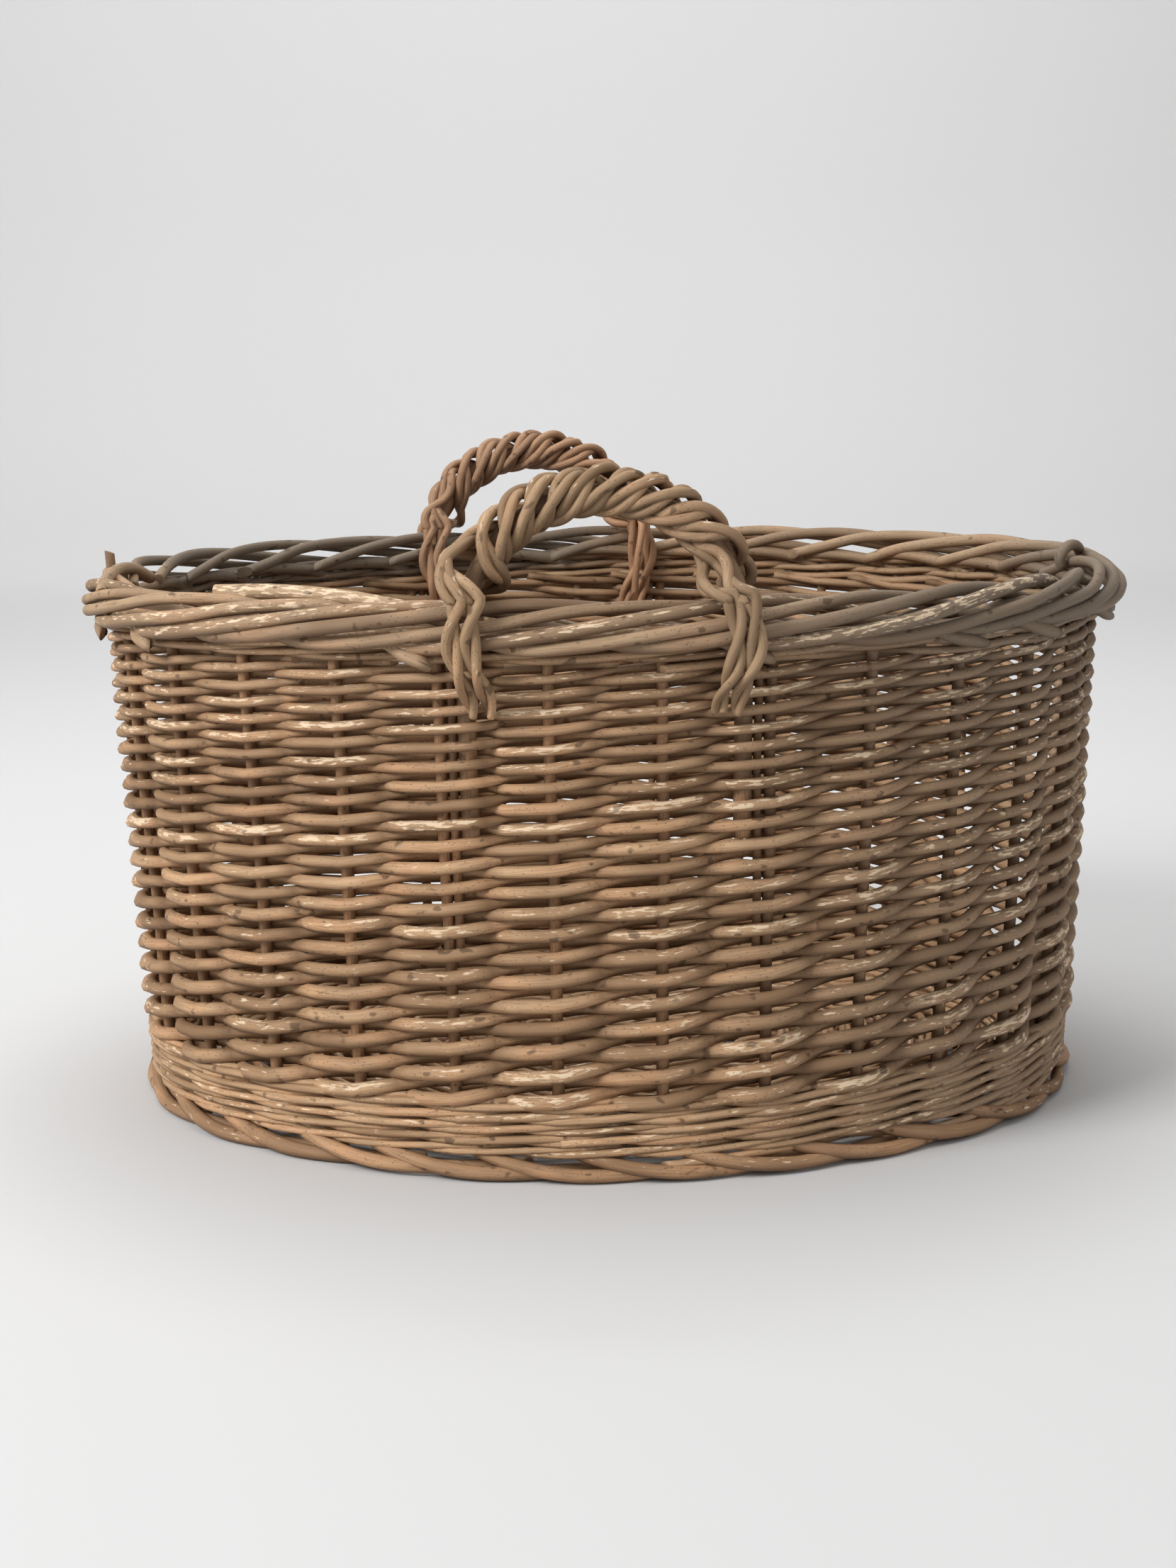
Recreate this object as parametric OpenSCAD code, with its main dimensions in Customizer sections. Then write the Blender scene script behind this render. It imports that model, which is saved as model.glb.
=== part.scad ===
// Oval willow basket with two fixed bow handles, 1 unit = 1 mm, +Z up, origin on the ground at its centre.
// Woven zones are closed shells of the true outer shape; sticks, stakes and bows lie in channels inside them.

/* [Basket] */
// Length over the border, end to end
rim_length = 650; // [560:10:800]
// Width over the border, front to back
rim_width = 540; // [440:10:640]
// Height of the border's top above the ground
rim_height = 326; // [260:2:400]
// How far the wall leans outwards from the ground to the border, on every side
wall_flare = 18; // [8:1:30]
// How much smaller the radius of the two ends is than half the width of the wall
end_tightening = 31; // [20:1:45]

/* [Wall] */
// Thickness of the wall: a weaver, a stake and a weaver
wall_t = 18; // [17:0.5:22]
// Number of upright stakes
stake_count = 28; // [24:2:30]
// Diameter of a stake
stake_d = 7; // [5:0.25:8]
// How far the stakes at the back have crept round towards the right
stake_creep = 14; // [0:1:20]
// Height of the waling above the foot border
upsett_h = 25; // [16:1:34]
// Height of the waling below the top border
top_wale_h = 11; // [8:1:18]
// Height of one pair of weaving rows
row_pair_h = 12; // [10:0.5:16]

/* [Foot and bottom] */
// Height of the foot border
foot_h = 18; // [14:1:24]
// Width of the foot border
foot_w = 22; // [18:1:26]
// Height of the bottom's underside above the ground
bottom_clearance = 7; // [4:1:10]
// Thickness of the woven bottom
bottom_t = 15; // [14:0.5:18]
// Diameter of the short sticks that cross the bottom
cross_stick_d = 10; // [9:0.25:10.5]
// Number of short sticks
cross_stick_count = 7; // [5:2:9]
// Distance between two short sticks
cross_stick_pitch = 62; // [40:1:66]
// Diameter of the long sticks threaded through the short ones
long_stick_d = 6.5; // [5:0.25:7]
// Distance between two long sticks
long_stick_pitch = 24; // [16:1:40]

/* [Top border] */
// Diameter of a border rod
border_rod_d = 8; // [6.5:0.25:9]
// Rods of the border stacked on its outer face
border_rows = 3; // [2:1:3]
// How far the border stands out past the wall
border_overhang = 15; // [12:0.5:18]

/* [Handles] */
// Diameter of the bow inside each handle
bow_d = 10; // [8:0.5:12]
// Stake spaces that a handle spans
handle_spaces = 3; // [3:1:4]
// Stake spaces by which the back handle sits towards the left
back_handle_shift = 1; // [0:1:2]
// Height of the handles' top above the border's top
handle_rise = 70; // [55:1:100]
// How far a bow's legs are driven down below the border's top
bow_leg_depth = 130; // [90:1:180]
// Diameter of a rope strand
strand_d = 8; // [6:0.5:10]
// Turns that each strand makes round its bow
strand_turns = 5; // [4:1:6]
// How far below the border's top the strands' tails end
tail_drop = 58; // [48:1:80]
// Diameter of the extra stake beside each bow leg
bye_stake_d = 5; // [4:0.25:5.5]
// Diameter of the loose strand end inside the back handle
loose_end_d = 4.8; // [3:0.2:6]
// Length of the loose strand end
loose_end_l = 48; // [30:1:70]

/* [Fit] */
// Gap between two pieces that lie against each other
gap = 0.3; // [0.2:0.05:0.5]

/* [Hidden] */
$fn = 96;

deg = 180 / PI;
over = 1;                                   // how far a cutter runs past what it cuts
groove = 1.5;                               // depth of the groove between two pairs of rows
wale_pair_h = 6;                            // height of one pair of rows in the waling
stick_end_gap = 12;                         // from a short stick's end to the bottom's edge
long_stick_end_gap = 30;                    // from a long stick's end to the bottom's edge
foot_chamfer = 5;                           // size of the foot border's bevels

// The wall's middle surface: four arcs, leaning outwards evenly, measured at the border's middle height.
rod_pitch = 0.92 * border_rod_d;             // rods of one bundle press into each other a little
border_h = border_rod_d + (border_rows - 1) * rod_pitch;
wall_top = rim_height - border_h;
lean_h = rim_height - border_h / 2;
lean_angle = atan(wall_flare / lean_h);
half_a = rim_length / 2 - border_overhang - wall_t / 2;
half_b = rim_width / 2 - border_overhang - wall_t / 2;
end_r_top = half_b - end_tightening;
end_x = half_a - end_r_top;
side_r_top = (end_x * end_x + half_b * half_b - end_r_top * end_r_top) / (2 * end_tightening);
side_y = side_r_top - half_b;
side_half = atan2(end_x, side_y);           // half angle of a side arc
end_half = 90 - side_half;                  // half angle of an end arc
end_r = end_r_top - wall_flare;             // radii on the ground
side_r = side_r_top - wall_flare;
side_len = side_r * side_half / deg;        // half a side arc
end_len = end_r * 2 * end_half / deg;       // a whole end arc
oval_len = 4 * side_len + 2 * end_len;
stake_pitch = oval_len / stake_count;

// Heights of the stacked zones
upsett_z = foot_h + gap;
siding_z = upsett_z + upsett_h + gap;
top_wale_z = wall_top - gap - top_wale_h;
siding_h = (top_wale_z - siding_z) / 3;     // the siding is worked in three bands

function lean(z) = wall_flare * z / lean_h;

// A spot on the oval at arc length s from the front's middle: [arc centre x, y, radius on the ground, angle]
function wrap(s) = s - oval_len * floor(s / oval_len);
function spot_from(s) =
    s < side_len ? [0, side_y, side_r, -90 + s / side_r * deg] :
    s < side_len + end_len ? [end_x, 0, end_r, -end_half + (s - side_len) / end_r * deg] :
    s < 3 * side_len + end_len ?
        [0, -side_y, side_r, 90 - side_half + (s - side_len - end_len) / side_r * deg] :
    s < 3 * side_len + 2 * end_len ?
        [-end_x, 0, end_r, 180 - end_half + (s - 3 * side_len - end_len) / end_r * deg] :
    [0, side_y, side_r, 270 - side_half + (s - 3 * side_len - 2 * end_len) / side_r * deg];
function spot(s) = spot_from(wrap(s));
function stake_s(k) =
    let (s = (k + 0.5) * stake_pitch) s - stake_creep * (1 - cos(360 * s / oval_len)) / 2;

// Handles: a bow stands inside the two stakes that it spans, with a bye-stake in between.
leg_inset = stake_d / 2 + bye_stake_d + bow_d / 2 + 4 * gap;
bye_inset = stake_d / 2 + bye_stake_d / 2 + 2 * gap;
front_first = -handle_spaces / 2 - 0.5;     // number of the stake left of the front handle
back_first = stake_count / 2 + back_handle_shift - handle_spaces / 2 - 0.5;
front_stakes = [stake_s(front_first), stake_s(front_first + handle_spaces)];
back_stakes = [stake_s(back_first), stake_s(back_first + handle_spaces)];
strand_reach = bow_d / 2 + strand_d / 2 + gap;
bow_top = rim_height + handle_rise - strand_reach - strand_d / 2;
border_lean = lean(border_h / 2);            // how far the handle's plane leans over half the border
pass_clear = 1.2;                            // how far an outer strand clears the border
inner_rod_off = (bow_d + border_rod_d) / 2 + 3 * gap;  // from the wall's middle in to the inner rods
outer_pass = wall_t / 2 + border_overhang + border_lean + strand_d / 2 + pass_clear;
inner_pass = inner_rod_off + border_rod_d / 2 + border_lean + strand_d / 2 + gap;
wall_pass = wall_t / 2 + strand_d / 2 + gap;

// A profile drawn in [offset from the ground oval, height] is carried all round the oval.
module oval_ring() {
    for (side = [0, 180]) rotate([0, 0, side]) {
        translate([0, side_y, 0]) rotate([0, 0, -90 - side_half])
            rotate_extrude(angle = 2 * side_half) translate([side_r, 0]) children();
        translate([end_x, 0, 0]) rotate([0, 0, -end_half])
            rotate_extrude(angle = 2 * end_half) translate([end_r, 0]) children();
    }
}

// A straight rod of diameter d that leans with the wall at arc length s
module wall_rod(s, z0, z1, d) {
    p = spot(s);
    translate([p[0], p[1], 0]) rotate([0, 0, p[3]]) translate([p[2] + lean(z0), 0, z0])
        rotate([0, lean_angle, 0]) cylinder(d = d, h = (z1 - z0) / cos(lean_angle));
}

// Channels through the wall between two heights, for stakes, bye-stakes and bow legs
module stake_channels(z0, z1) {
    for (k = [0 : stake_count - 1]) wall_rod(stake_s(k), z0 - over, z1 + over, stake_d + 2 * gap);
}

// A leg's channel is wider by drift where the bow already turns inwards.
module leg_channels(z0, z1, drift = 0) {
    for (pair = [front_stakes, back_stakes]) {
        wall_rod(pair[0] + leg_inset + drift / 2, z0, z1, bow_d + 2 * gap + drift);
        wall_rod(pair[1] - leg_inset - drift / 2, z0, z1, bow_d + 2 * gap + drift);
    }
}

module bye_channels(z0, z1) {
    for (pair = [front_stakes, back_stakes]) {
        wall_rod(pair[0] + bye_inset, z0, z1, bye_stake_d + 2 * gap);
        wall_rod(pair[1] - bye_inset, z0, z1, bye_stake_d + 2 * gap);
    }
}

leg_z = rim_height - bow_leg_depth;          // where the bow legs end
bye_z = siding_z + siding_h;                 // where the bye-stakes end, on top of the lower siding

// One band of the wall, grooved where two pairs of rows meet
module wall_band(z0, z1, pair_h) {
    rows = max(1, round((z1 - z0) / pair_h));
    h = (z1 - z0) / rows;
    inner = [for (i = [0 : rows - 1]) let (z = z0 + i * h)
        each [[lean(z) - wall_t / 2 + groove, z], [lean(z + h / 2) - wall_t / 2, z + h / 2]]];
    outer = [for (i = [0 : rows - 1]) let (z = z1 - i * h)
        each [[lean(z) + wall_t / 2 - groove, z], [lean(z - h / 2) + wall_t / 2, z - h / 2]]];
    difference() {
        oval_ring() polygon(concat(inner, [[lean(z1) - wall_t / 2 + groove, z1]], outer,
            [[lean(z0) + wall_t / 2 - groove, z0]]));
        stake_channels(z0, z1);
        if (z1 > leg_z) leg_channels(max(leg_z - 2 * gap, z0 - over), z1 + over);
        if (z1 > bye_z) bye_channels(max(bye_z - gap, z0 - over), z1 + over);
    }
}

// Bottom
function oval_point(s, off) = let (p = spot(s)) [p[0], p[1]] + (p[2] + off) * [cos(p[3]), sin(p[3])];
module oval_plate(off, t) {
    steps = 120;
    linear_extrude(t) polygon([for (i = [0 : steps - 1]) oval_point(i * oval_len / steps, off)]);
}
bottom_off = -wall_t / 2 - gap;
stick_z = bottom_clearance + bottom_t / 2;
long_stick_l = 2 * (end_x + end_r + bottom_off - long_stick_end_gap);
long_ys = [-long_stick_pitch, 0, long_stick_pitch];
cross_xs = [for (i = [0 : cross_stick_count - 1]) (i - (cross_stick_count - 1) / 2) * cross_stick_pitch];
// Half the width of the oval at x, inside the wall
function half_width(x) = abs(x) < end_x + end_r * sin(side_half)
    ? sqrt(pow(side_r + bottom_off, 2) - x * x) - side_y
    : sqrt(pow(end_r + bottom_off, 2) - pow(abs(x) - end_x, 2));
function cross_l(x) = 2 * (half_width(x) - stick_end_gap);

// A stick, or the channel round it when room is given
module cross_stick(x, room = 0) {
    translate([x, 0, stick_z]) rotate([90, 0, 0])
        cylinder(d = cross_stick_d + 2 * room, h = cross_l(x) + 2 * room, center = true);
}
module long_stick(y, room = 0) {
    translate([0, y, stick_z]) rotate([0, 90, 0])
        cylinder(d = long_stick_d + 2 * room, h = long_stick_l + 2 * room, center = true);
}

module bottom_cross_sticks() {
    color("peru") difference() {
        for (x = cross_xs) cross_stick(x);
        for (y = long_ys) long_stick(y, gap);
    }
}

module bottom_long_sticks() {
    color("burlywood") for (y = long_ys) long_stick(y);
}

module bottom_weave() {
    color("tan") difference() {
        translate([0, 0, bottom_clearance]) oval_plate(bottom_off, bottom_t);
        for (x = cross_xs) cross_stick(x, gap);
        for (y = long_ys) long_stick(y, gap);
    }
}

// Foot border: flat underneath, rounded like the two thick rods that lie side by side in it
module foot_border() {
    inner = bottom_off + gap;
    outer = inner + foot_w;
    color("sienna") oval_ring() polygon([
        [inner, 0], [outer - foot_chamfer, 0], [outer, foot_chamfer],
        [outer, foot_h - foot_chamfer], [outer - foot_chamfer, foot_h], [inner, foot_h]]);
}

module upsett_wale() { color("burlywood") wall_band(upsett_z, upsett_z + upsett_h, wale_pair_h); }
module siding_lower() { color("tan") wall_band(siding_z, siding_z + siding_h - gap, row_pair_h); }
module siding_middle() {
    color("burlywood") wall_band(siding_z + siding_h, siding_z + 2 * siding_h - gap, row_pair_h);
}
module siding_upper() {
    color("tan") wall_band(siding_z + 2 * siding_h, siding_z + 3 * siding_h - gap, row_pair_h);
}
module top_wale() { color("burlywood") wall_band(top_wale_z, top_wale_z + top_wale_h, wale_pair_h); }

module side_stakes() {
    color("saddlebrown") for (k = [0 : stake_count - 1])
        wall_rod(stake_s(k), upsett_z + gap, wall_top - 2 * gap, stake_d);
}

module bye_stakes(pair) {
    color("sienna") for (s = [pair[0] + bye_inset, pair[1] - bye_inset])
        wall_rod(s, bye_z + gap, wall_top - 2 * gap, bye_stake_d);
}
module front_bye_stakes() { bye_stakes(front_stakes); }
module back_bye_stakes() { bye_stakes(back_stakes); }

// Top border: bundles of rods side by side, each running all round the rim
mid_off = lean(lean_h);
outer_off = mid_off + wall_t / 2 + border_overhang - border_rod_d / 2;
inner_off = mid_off - inner_rod_off;
top_row_z = rim_height - border_rod_d / 2;
middle_off = outer_off - border_rod_d - gap; // the outermost rod of the middle bundle
nestle = sqrt(pow(border_rod_d + gap, 2) - pow(rod_pitch, 2));  // sideways room over the inner rods
middle_rods = floor((middle_off - inner_off - nestle) / rod_pitch) + 1;

module rod_bundle(spots) { oval_ring() for (p = spots) translate(p) circle(d = border_rod_d, $fn = 10); }

module border_outer_rods() {
    color("peru") rod_bundle([for (i = [0 : border_rows - 1]) [outer_off, top_row_z - i * rod_pitch]]);
}
module border_middle_rods() {
    color("burlywood") difference() {
        rod_bundle([for (i = [0 : middle_rods - 1]) [middle_off - i * rod_pitch, top_row_z]]);
        leg_channels(wall_top, rim_height + over, bow_drift(fan(front_stakes)));
    }
}
module border_inner_rods() {
    color("tan") rod_bundle([for (i = [0 : border_rows - 2])
        [inner_off, wall_top + border_rod_d / 2 + i * rod_pitch]]);
}

// Handles. A bow lies in a plane that leans with the wall through both of its legs.
function fan(pair) = (pair[1] - pair[0] - 2 * leg_inset) / 2 / side_r * deg;  // half angle between the legs
function bow_slope(f) = atan(tan(lean_angle) * cos(f));
function bow_splay(f) = atan(tan(lean_angle) * sin(f) * cos(bow_slope(f)));
// In the bow's plane: u runs along the rim, w up the slope from the ground.
function leg_u(f, w) = side_r * sin(f) + w * tan(bow_splay(f));
function bow_w(f) = let (top = bow_top / cos(bow_slope(f)), t = bow_splay(f))
    (top - side_r * sin(f) * cos(t)) / (1 + sin(t));
function bow_r(f) = leg_u(f, bow_w(f)) * cos(bow_splay(f));

// Places its children, drawn with u along +X, w along +Z and outwards along -Y, in a handle's plane
module on_rim(pair, back) {
    f = fan(pair);
    turn = (pair[0] + pair[1]) / 2 / side_r * deg - (back ? oval_len / 2 / side_r * deg : 0);
    rotate([0, 0, back ? 180 : 0]) translate([0, side_y, 0]) rotate([0, 0, turn])
        translate([0, -side_r * cos(f), 0]) rotate([bow_slope(f), 0, 0]) children();
}

// How far inwards the bow has turned at the border's top
function bow_drift(f) = let (rise = rim_height / cos(bow_slope(f)) - bow_w(f), r = bow_r(f))
    rise > 0 ? r - sqrt(r * r - rise * rise) : 0;

// Strands: a strand winds round the bow, passes the border and ends against the wall.
even_turning = 0.65;                        // share of a strand's winding that is evenly spread
strand_clear = 2;                           // how far a strand clears the border's top
strand_in = 22;                             // length of bow over which a strand closes in on it
strand_pass = 12;                           // how far below the arch's foot a strand starts back to the wall
strand_steps = 100;
strand_sides = 6;
arc_steps = 32;
bow_sides = 12;
function ramp(x) = let (c = min(1, max(0, x))) c * c * (3 - 2 * c);
function bow_len(f) = bow_r(f) * (180 + 2 * bow_splay(f)) / deg;
// A point of the bow's middle line at length q from the left end of its arc: [u, w, outward normal angle]
function bow_at(f, q) = let (r = bow_r(f), t = bow_splay(f), n = bow_len(f),
    c = min(n, max(0, q)), a = 180 + t - c / r * deg, rest = q < 0 ? q : q > n ? n - q : 0)
    [r * cos(a) + (q < n / 2 ? -1 : 1) * rest * sin(t), bow_w(f) + r * sin(a) + rest * cos(t), a];

function strand_points(f, outer) =
    let (n = bow_len(f),
        pass = outer ? outer_pass : inner_pass,
        clear_z = rim_height + strand_d / 2 + strand_clear + pass * sin(lean_angle),  // its plane leans
        clear_q = bow_r(f) * asin((clear_z - bow_w(f) * cos(bow_slope(f))) / bow_r(f)) / deg,
        low_q = bow_w(f) - (rim_height - tail_drop))
    [for (i = [0 : strand_steps]) let (
        q = -low_q + i * (n + 2 * low_q) / strand_steps,
        edge = min(q, n - q),
        near = ramp(1 - (edge - clear_q) / strand_in),
        out = edge < -strand_pass
            ? wall_pass + (pass - wall_pass) * ramp((edge + low_q) / (low_q - strand_pass))
            : strand_reach + (pass - strand_reach) * near,
        share = min(1, max(0, (q - clear_q) / (n - 2 * clear_q))),
        swept = ramp(share) * (1 - even_turning) + share * even_turning,
        a = (outer ? 0 : 180) + 360 * strand_turns * swept,
        square = near * (q < n / 2 ? -f : f),  // at its feet a strand moves square to the wall
        b = bow_at(f, q))
        [b[0] + out * (sin(a) * cos(b[2]) + cos(a) * sin(square)), -out * cos(a) * cos(square),
            b[1] + out * sin(a) * sin(b[2])]];

function unit(v) = v / norm(v);
module sweep(points, d, sides) {
    last = len(points) - 1;
    rings = [for (i = [0 : last]) let (
        t = unit(points[min(last, i + 1)] - points[max(0, i - 1)]),
        u = unit(cross(t, [0.13, 0.31, 0.94])),
        v = cross(t, u)) [for (j = [0 : sides - 1]) points[i] + d / 2 * (cos(360 * j / sides) * u
            + sin(360 * j / sides) * v)]];
    polyhedron([for (r = rings) each r], concat(
        [[for (j = [0 : sides - 1]) j]],
        [for (i = [0 : last - 1]) for (j = [0 : sides - 1]) let (k = (j + 1) % sides)
            each [[i * sides + j, (i + 1) * sides + j, (i + 1) * sides + k],
                [i * sides + j, (i + 1) * sides + k, i * sides + k]]],
        [[for (j = [sides - 1 : -1 : 0]) last * sides + j]]));
}

module strand(pair, back, outer) {
    on_rim(pair, back) sweep(strand_points(fan(pair), outer), strand_d, strand_sides);
}

module bow(pair, back) {
    f = fan(pair);
    leg_l = (bow_w(f) - bow_r(f) * sin(bow_splay(f)) - leg_z / cos(bow_slope(f))) / cos(bow_splay(f));
    arc = [for (i = [0 : arc_steps]) i * bow_len(f) / arc_steps];
    on_rim(pair, back) sweep([for (q = concat([-leg_l], arc, [bow_len(f) + leg_l]))
        let (b = bow_at(f, q)) [b[0], 0, b[1]]], bow_d, bow_sides);
}

module front_handle_bow() { color("saddlebrown") bow(front_stakes, false); }
module front_handle_outer_strand() { color("peru") strand(front_stakes, false, true); }
module front_handle_inner_strand() { color("burlywood") strand(front_stakes, false, false); }
module back_handle_bow() { color("maroon") bow(back_stakes, true); }
module back_handle_outer_strand() { color("sienna") strand(back_stakes, true, true); }
module back_handle_inner_strand() { color("chocolate") strand(back_stakes, true, false); }

module back_handle_loose_end() {
    u = strand_d - leg_u(fan(back_stakes), rim_height);
    color("tan") on_rim(back_stakes, true) translate([u, inner_pass + strand_d, rim_height - loose_end_l])
        cylinder(d = loose_end_d, h = loose_end_l, $fn = 24);
}

bottom_cross_sticks();
bottom_long_sticks();
bottom_weave();
foot_border();
upsett_wale();
side_stakes();
siding_lower();
siding_middle();
siding_upper();
top_wale();
border_outer_rods();
border_middle_rods();
border_inner_rods();
front_handle_bow();
front_handle_outer_strand();
front_handle_inner_strand();
front_bye_stakes();
back_handle_bow();
back_handle_outer_strand();
back_handle_inner_strand();
back_bye_stakes();
back_handle_loose_end();
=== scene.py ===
"""Oval willow basket: every rod of the weave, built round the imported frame.

All sizes are in metres. The wall's oval and the heights of its zones come from the frame's nodes, and
every woven piece stands for the closed solid that holds its place in the frame.
"""

import logging
import math
import random
from dataclasses import dataclass
from enum import Enum
from typing import Callable, Sequence

import bmesh
import bpy
from mathutils import Matrix, Vector

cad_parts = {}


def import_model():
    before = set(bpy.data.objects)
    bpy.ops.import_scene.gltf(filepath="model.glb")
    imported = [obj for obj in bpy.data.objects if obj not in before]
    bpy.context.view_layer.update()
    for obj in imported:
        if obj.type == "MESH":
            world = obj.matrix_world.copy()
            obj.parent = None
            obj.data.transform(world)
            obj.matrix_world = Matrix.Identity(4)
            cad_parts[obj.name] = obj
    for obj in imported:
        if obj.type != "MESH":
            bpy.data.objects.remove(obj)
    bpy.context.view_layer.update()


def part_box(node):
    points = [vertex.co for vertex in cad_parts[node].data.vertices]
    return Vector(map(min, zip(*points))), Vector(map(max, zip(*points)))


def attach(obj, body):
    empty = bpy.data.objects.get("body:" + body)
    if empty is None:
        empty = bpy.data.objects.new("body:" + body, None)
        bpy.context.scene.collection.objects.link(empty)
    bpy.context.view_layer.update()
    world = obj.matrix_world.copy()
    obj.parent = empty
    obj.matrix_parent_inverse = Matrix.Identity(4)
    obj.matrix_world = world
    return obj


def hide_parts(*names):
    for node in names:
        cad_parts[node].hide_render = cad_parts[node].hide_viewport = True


LOG = logging.getLogger("basket")
GRAIN = "grain"  # along the rod, and the place on its cross-section
WEAR_AND_SHADE = "wear"  # tone of the rod (pushed below 0 by painted shade in hollows and on undersides), how rubbed its bark is, how grey it has gone
FULL_TURN = 2 * math.pi
UP = Vector((0, 0, 1))
Colour = tuple[float, float, float]


def eased(x: float) -> float:
    """Returns x limited to 0..1 and eased at both ends."""
    x = min(1.0, max(0.0, x))
    return x * x * (3 - 2 * x)


def blend(a: float, b: float, share: float) -> float:
    """Returns the value that lies share of the way from a to b."""
    return a + (b - a) * share


def screen_colour(red: int, green: int, blue: int) -> Colour:
    """Turns a colour of 0 to 255 as seen on a screen into the linear values that shaders take."""
    shares = [channel / 255 for channel in (red, green, blue)]
    linear = [c / 12.92 if c <= 0.04045 else ((c + 0.055) / 1.055) ** 2.4 for c in shares]
    return linear[0], linear[1], linear[2]


def smooth_line(knots: Sequence[Vector], steps: int) -> list[Vector]:
    """Runs a smooth line through knots.

    Args:
        knots: The points that the line passes through, two or more.
        steps: How many points are laid for each stretch between two knots.

    Returns:
        The line's points, with both end knots among them.
    """
    ends = [knots[0] * 2 - knots[1], *knots, knots[-1] * 2 - knots[-2]]
    line = []
    for a, b, c, d in zip(ends, ends[1:], ends[2:], ends[3:]):
        for step in range(steps):
            t = step / steps
            line.append(b + (c - a) * (t / 2) + (a * 2 - b * 5 + c * 4 - d) * (t * t / 2)
                        + (b * 3 - a - c * 3 + d) * (t * t * t / 2))
    line.append(knots[-1].copy())
    return line


def tapered(radius: float, start: float, end: float, count: int) -> list[float]:
    """Returns count radii that run evenly from start to end, as shares of a radius."""
    return [radius * blend(start, end, i / (count - 1)) for i in range(count)]


# ---------------------------------------------------------------- shaders


class Value:
    """A number that varies over a surface, written with Python's operators."""

    def __init__(self, shader: "Shader", socket: bpy.types.NodeSocket) -> None:
        """Wraps an output socket of one of the shader's nodes."""
        self.shader = shader
        self.socket = socket

    def _math(self, operation: str, first: "Value | float", second: "Value | float") -> "Value":
        """Adds a Math node and returns its result."""
        node = self.shader.node("ShaderNodeMath", {"operation": operation}, {0: first, 1: second})
        return Value(self.shader, node.outputs[0])

    def __add__(self, other: "Value | float") -> "Value":
        """Returns self + other."""
        return self._math("ADD", self, other)

    __radd__ = __add__

    def __sub__(self, other: "Value | float") -> "Value":
        """Returns self - other."""
        return self._math("SUBTRACT", self, other)

    def __rsub__(self, other: "Value | float") -> "Value":
        """Returns other - self."""
        return self._math("SUBTRACT", other, self)

    def __mul__(self, other: "Value | float") -> "Value":
        """Returns self * other."""
        return self._math("MULTIPLY", self, other)

    __rmul__ = __mul__

    def between(self, low: float, high: float) -> "Value":
        """Returns 0 below low, 1 above high and an eased value between them."""
        node = self.shader.node("ShaderNodeMapRange", {"interpolation_type": "SMOOTHSTEP"},
                                {"Value": self, "From Min": low, "From Max": high})
        return Value(self.shader, node.outputs[0])


class Shader:
    """A material under construction."""

    def __init__(self, name: str) -> None:
        """Starts an empty material with one Principled shader."""
        self.material = bpy.data.materials.new(name)
        self.material.use_nodes = True
        self.tree = self.material.node_tree
        self.tree.nodes.clear()
        self.surface = self.node("ShaderNodeBsdfPrincipled", {}, {})
        self.node("ShaderNodeOutputMaterial", {}, {"Surface": self.surface.outputs[0]})

    def node(self, kind: str, settings: dict[str, object], inputs: dict[str | int, object]) -> bpy.types.Node:
        """Adds a node.

        Args:
            kind: The node's type.
            settings: Properties that are set before the sockets, such as a Math node's operation.
            inputs: A value, a link or a Value for each named or numbered socket.

        Returns:
            The new node.
        """
        node = self.tree.nodes.new(kind)
        for name, setting in settings.items():
            setattr(node, name, setting)
        for name, given in inputs.items():
            self.feed(node.inputs[name], given)
        return node

    def feed(self, socket: bpy.types.NodeSocket, given: object) -> None:
        """Links a socket to a Value or to another socket, or sets its constant."""
        if isinstance(given, Value):
            self.tree.links.new(given.socket, socket)
        elif isinstance(given, bpy.types.NodeSocket):
            self.tree.links.new(given, socket)
        elif isinstance(given, tuple) and socket.type == "RGBA":
            socket.default_value = (*given, 1.0)
        else:
            socket.default_value = given

    def attribute(self, name: str) -> bpy.types.NodeSocket:
        """Returns the vector that a piece's mesh holds under a name."""
        node = self.node("ShaderNodeAttribute", {"attribute_type": "GEOMETRY", "attribute_name": name}, {})
        return node.outputs["Vector"]

    def parts(self, vector: bpy.types.NodeSocket) -> list[Value]:
        """Splits a vector into its three numbers."""
        node = self.node("ShaderNodeSeparateXYZ", {}, {"Vector": vector})
        return [Value(self, output) for output in node.outputs]

    def scaled(self, vector: bpy.types.NodeSocket, by: Colour) -> bpy.types.NodeSocket:
        """Returns a vector with each of its numbers multiplied."""
        node = self.node("ShaderNodeVectorMath", {"operation": "MULTIPLY"}, {0: vector, 1: by})
        return node.outputs[0]

    def noise(self, vector: bpy.types.NodeSocket, by: Colour, detail: float = 2.0) -> Value:
        """Returns noise of about 0.3 to 0.7, with features of 1 / by along each direction."""
        node = self.node("ShaderNodeTexNoise", {},
                         {"Vector": self.scaled(vector, by), "Scale": 1.0, "Detail": detail})
        return Value(self, node.outputs[0])

    def cells(self, vector: bpy.types.NodeSocket, by: Colour) -> Value:
        """Returns the distance to the nearest of many scattered points."""
        node = self.node("ShaderNodeTexVoronoi", {}, {"Vector": self.scaled(vector, by), "Scale": 1.0})
        return Value(self, node.outputs["Distance"])

    def mixed(self, first: object, second: object, share: Value) -> bpy.types.NodeSocket:
        """Returns the colour that lies share of the way from the first to the second."""
        node = self.node("ShaderNodeMix", {"data_type": "RGBA"}, {"Factor": share, "A": first, "B": second})
        return node.outputs["Result"]


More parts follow.
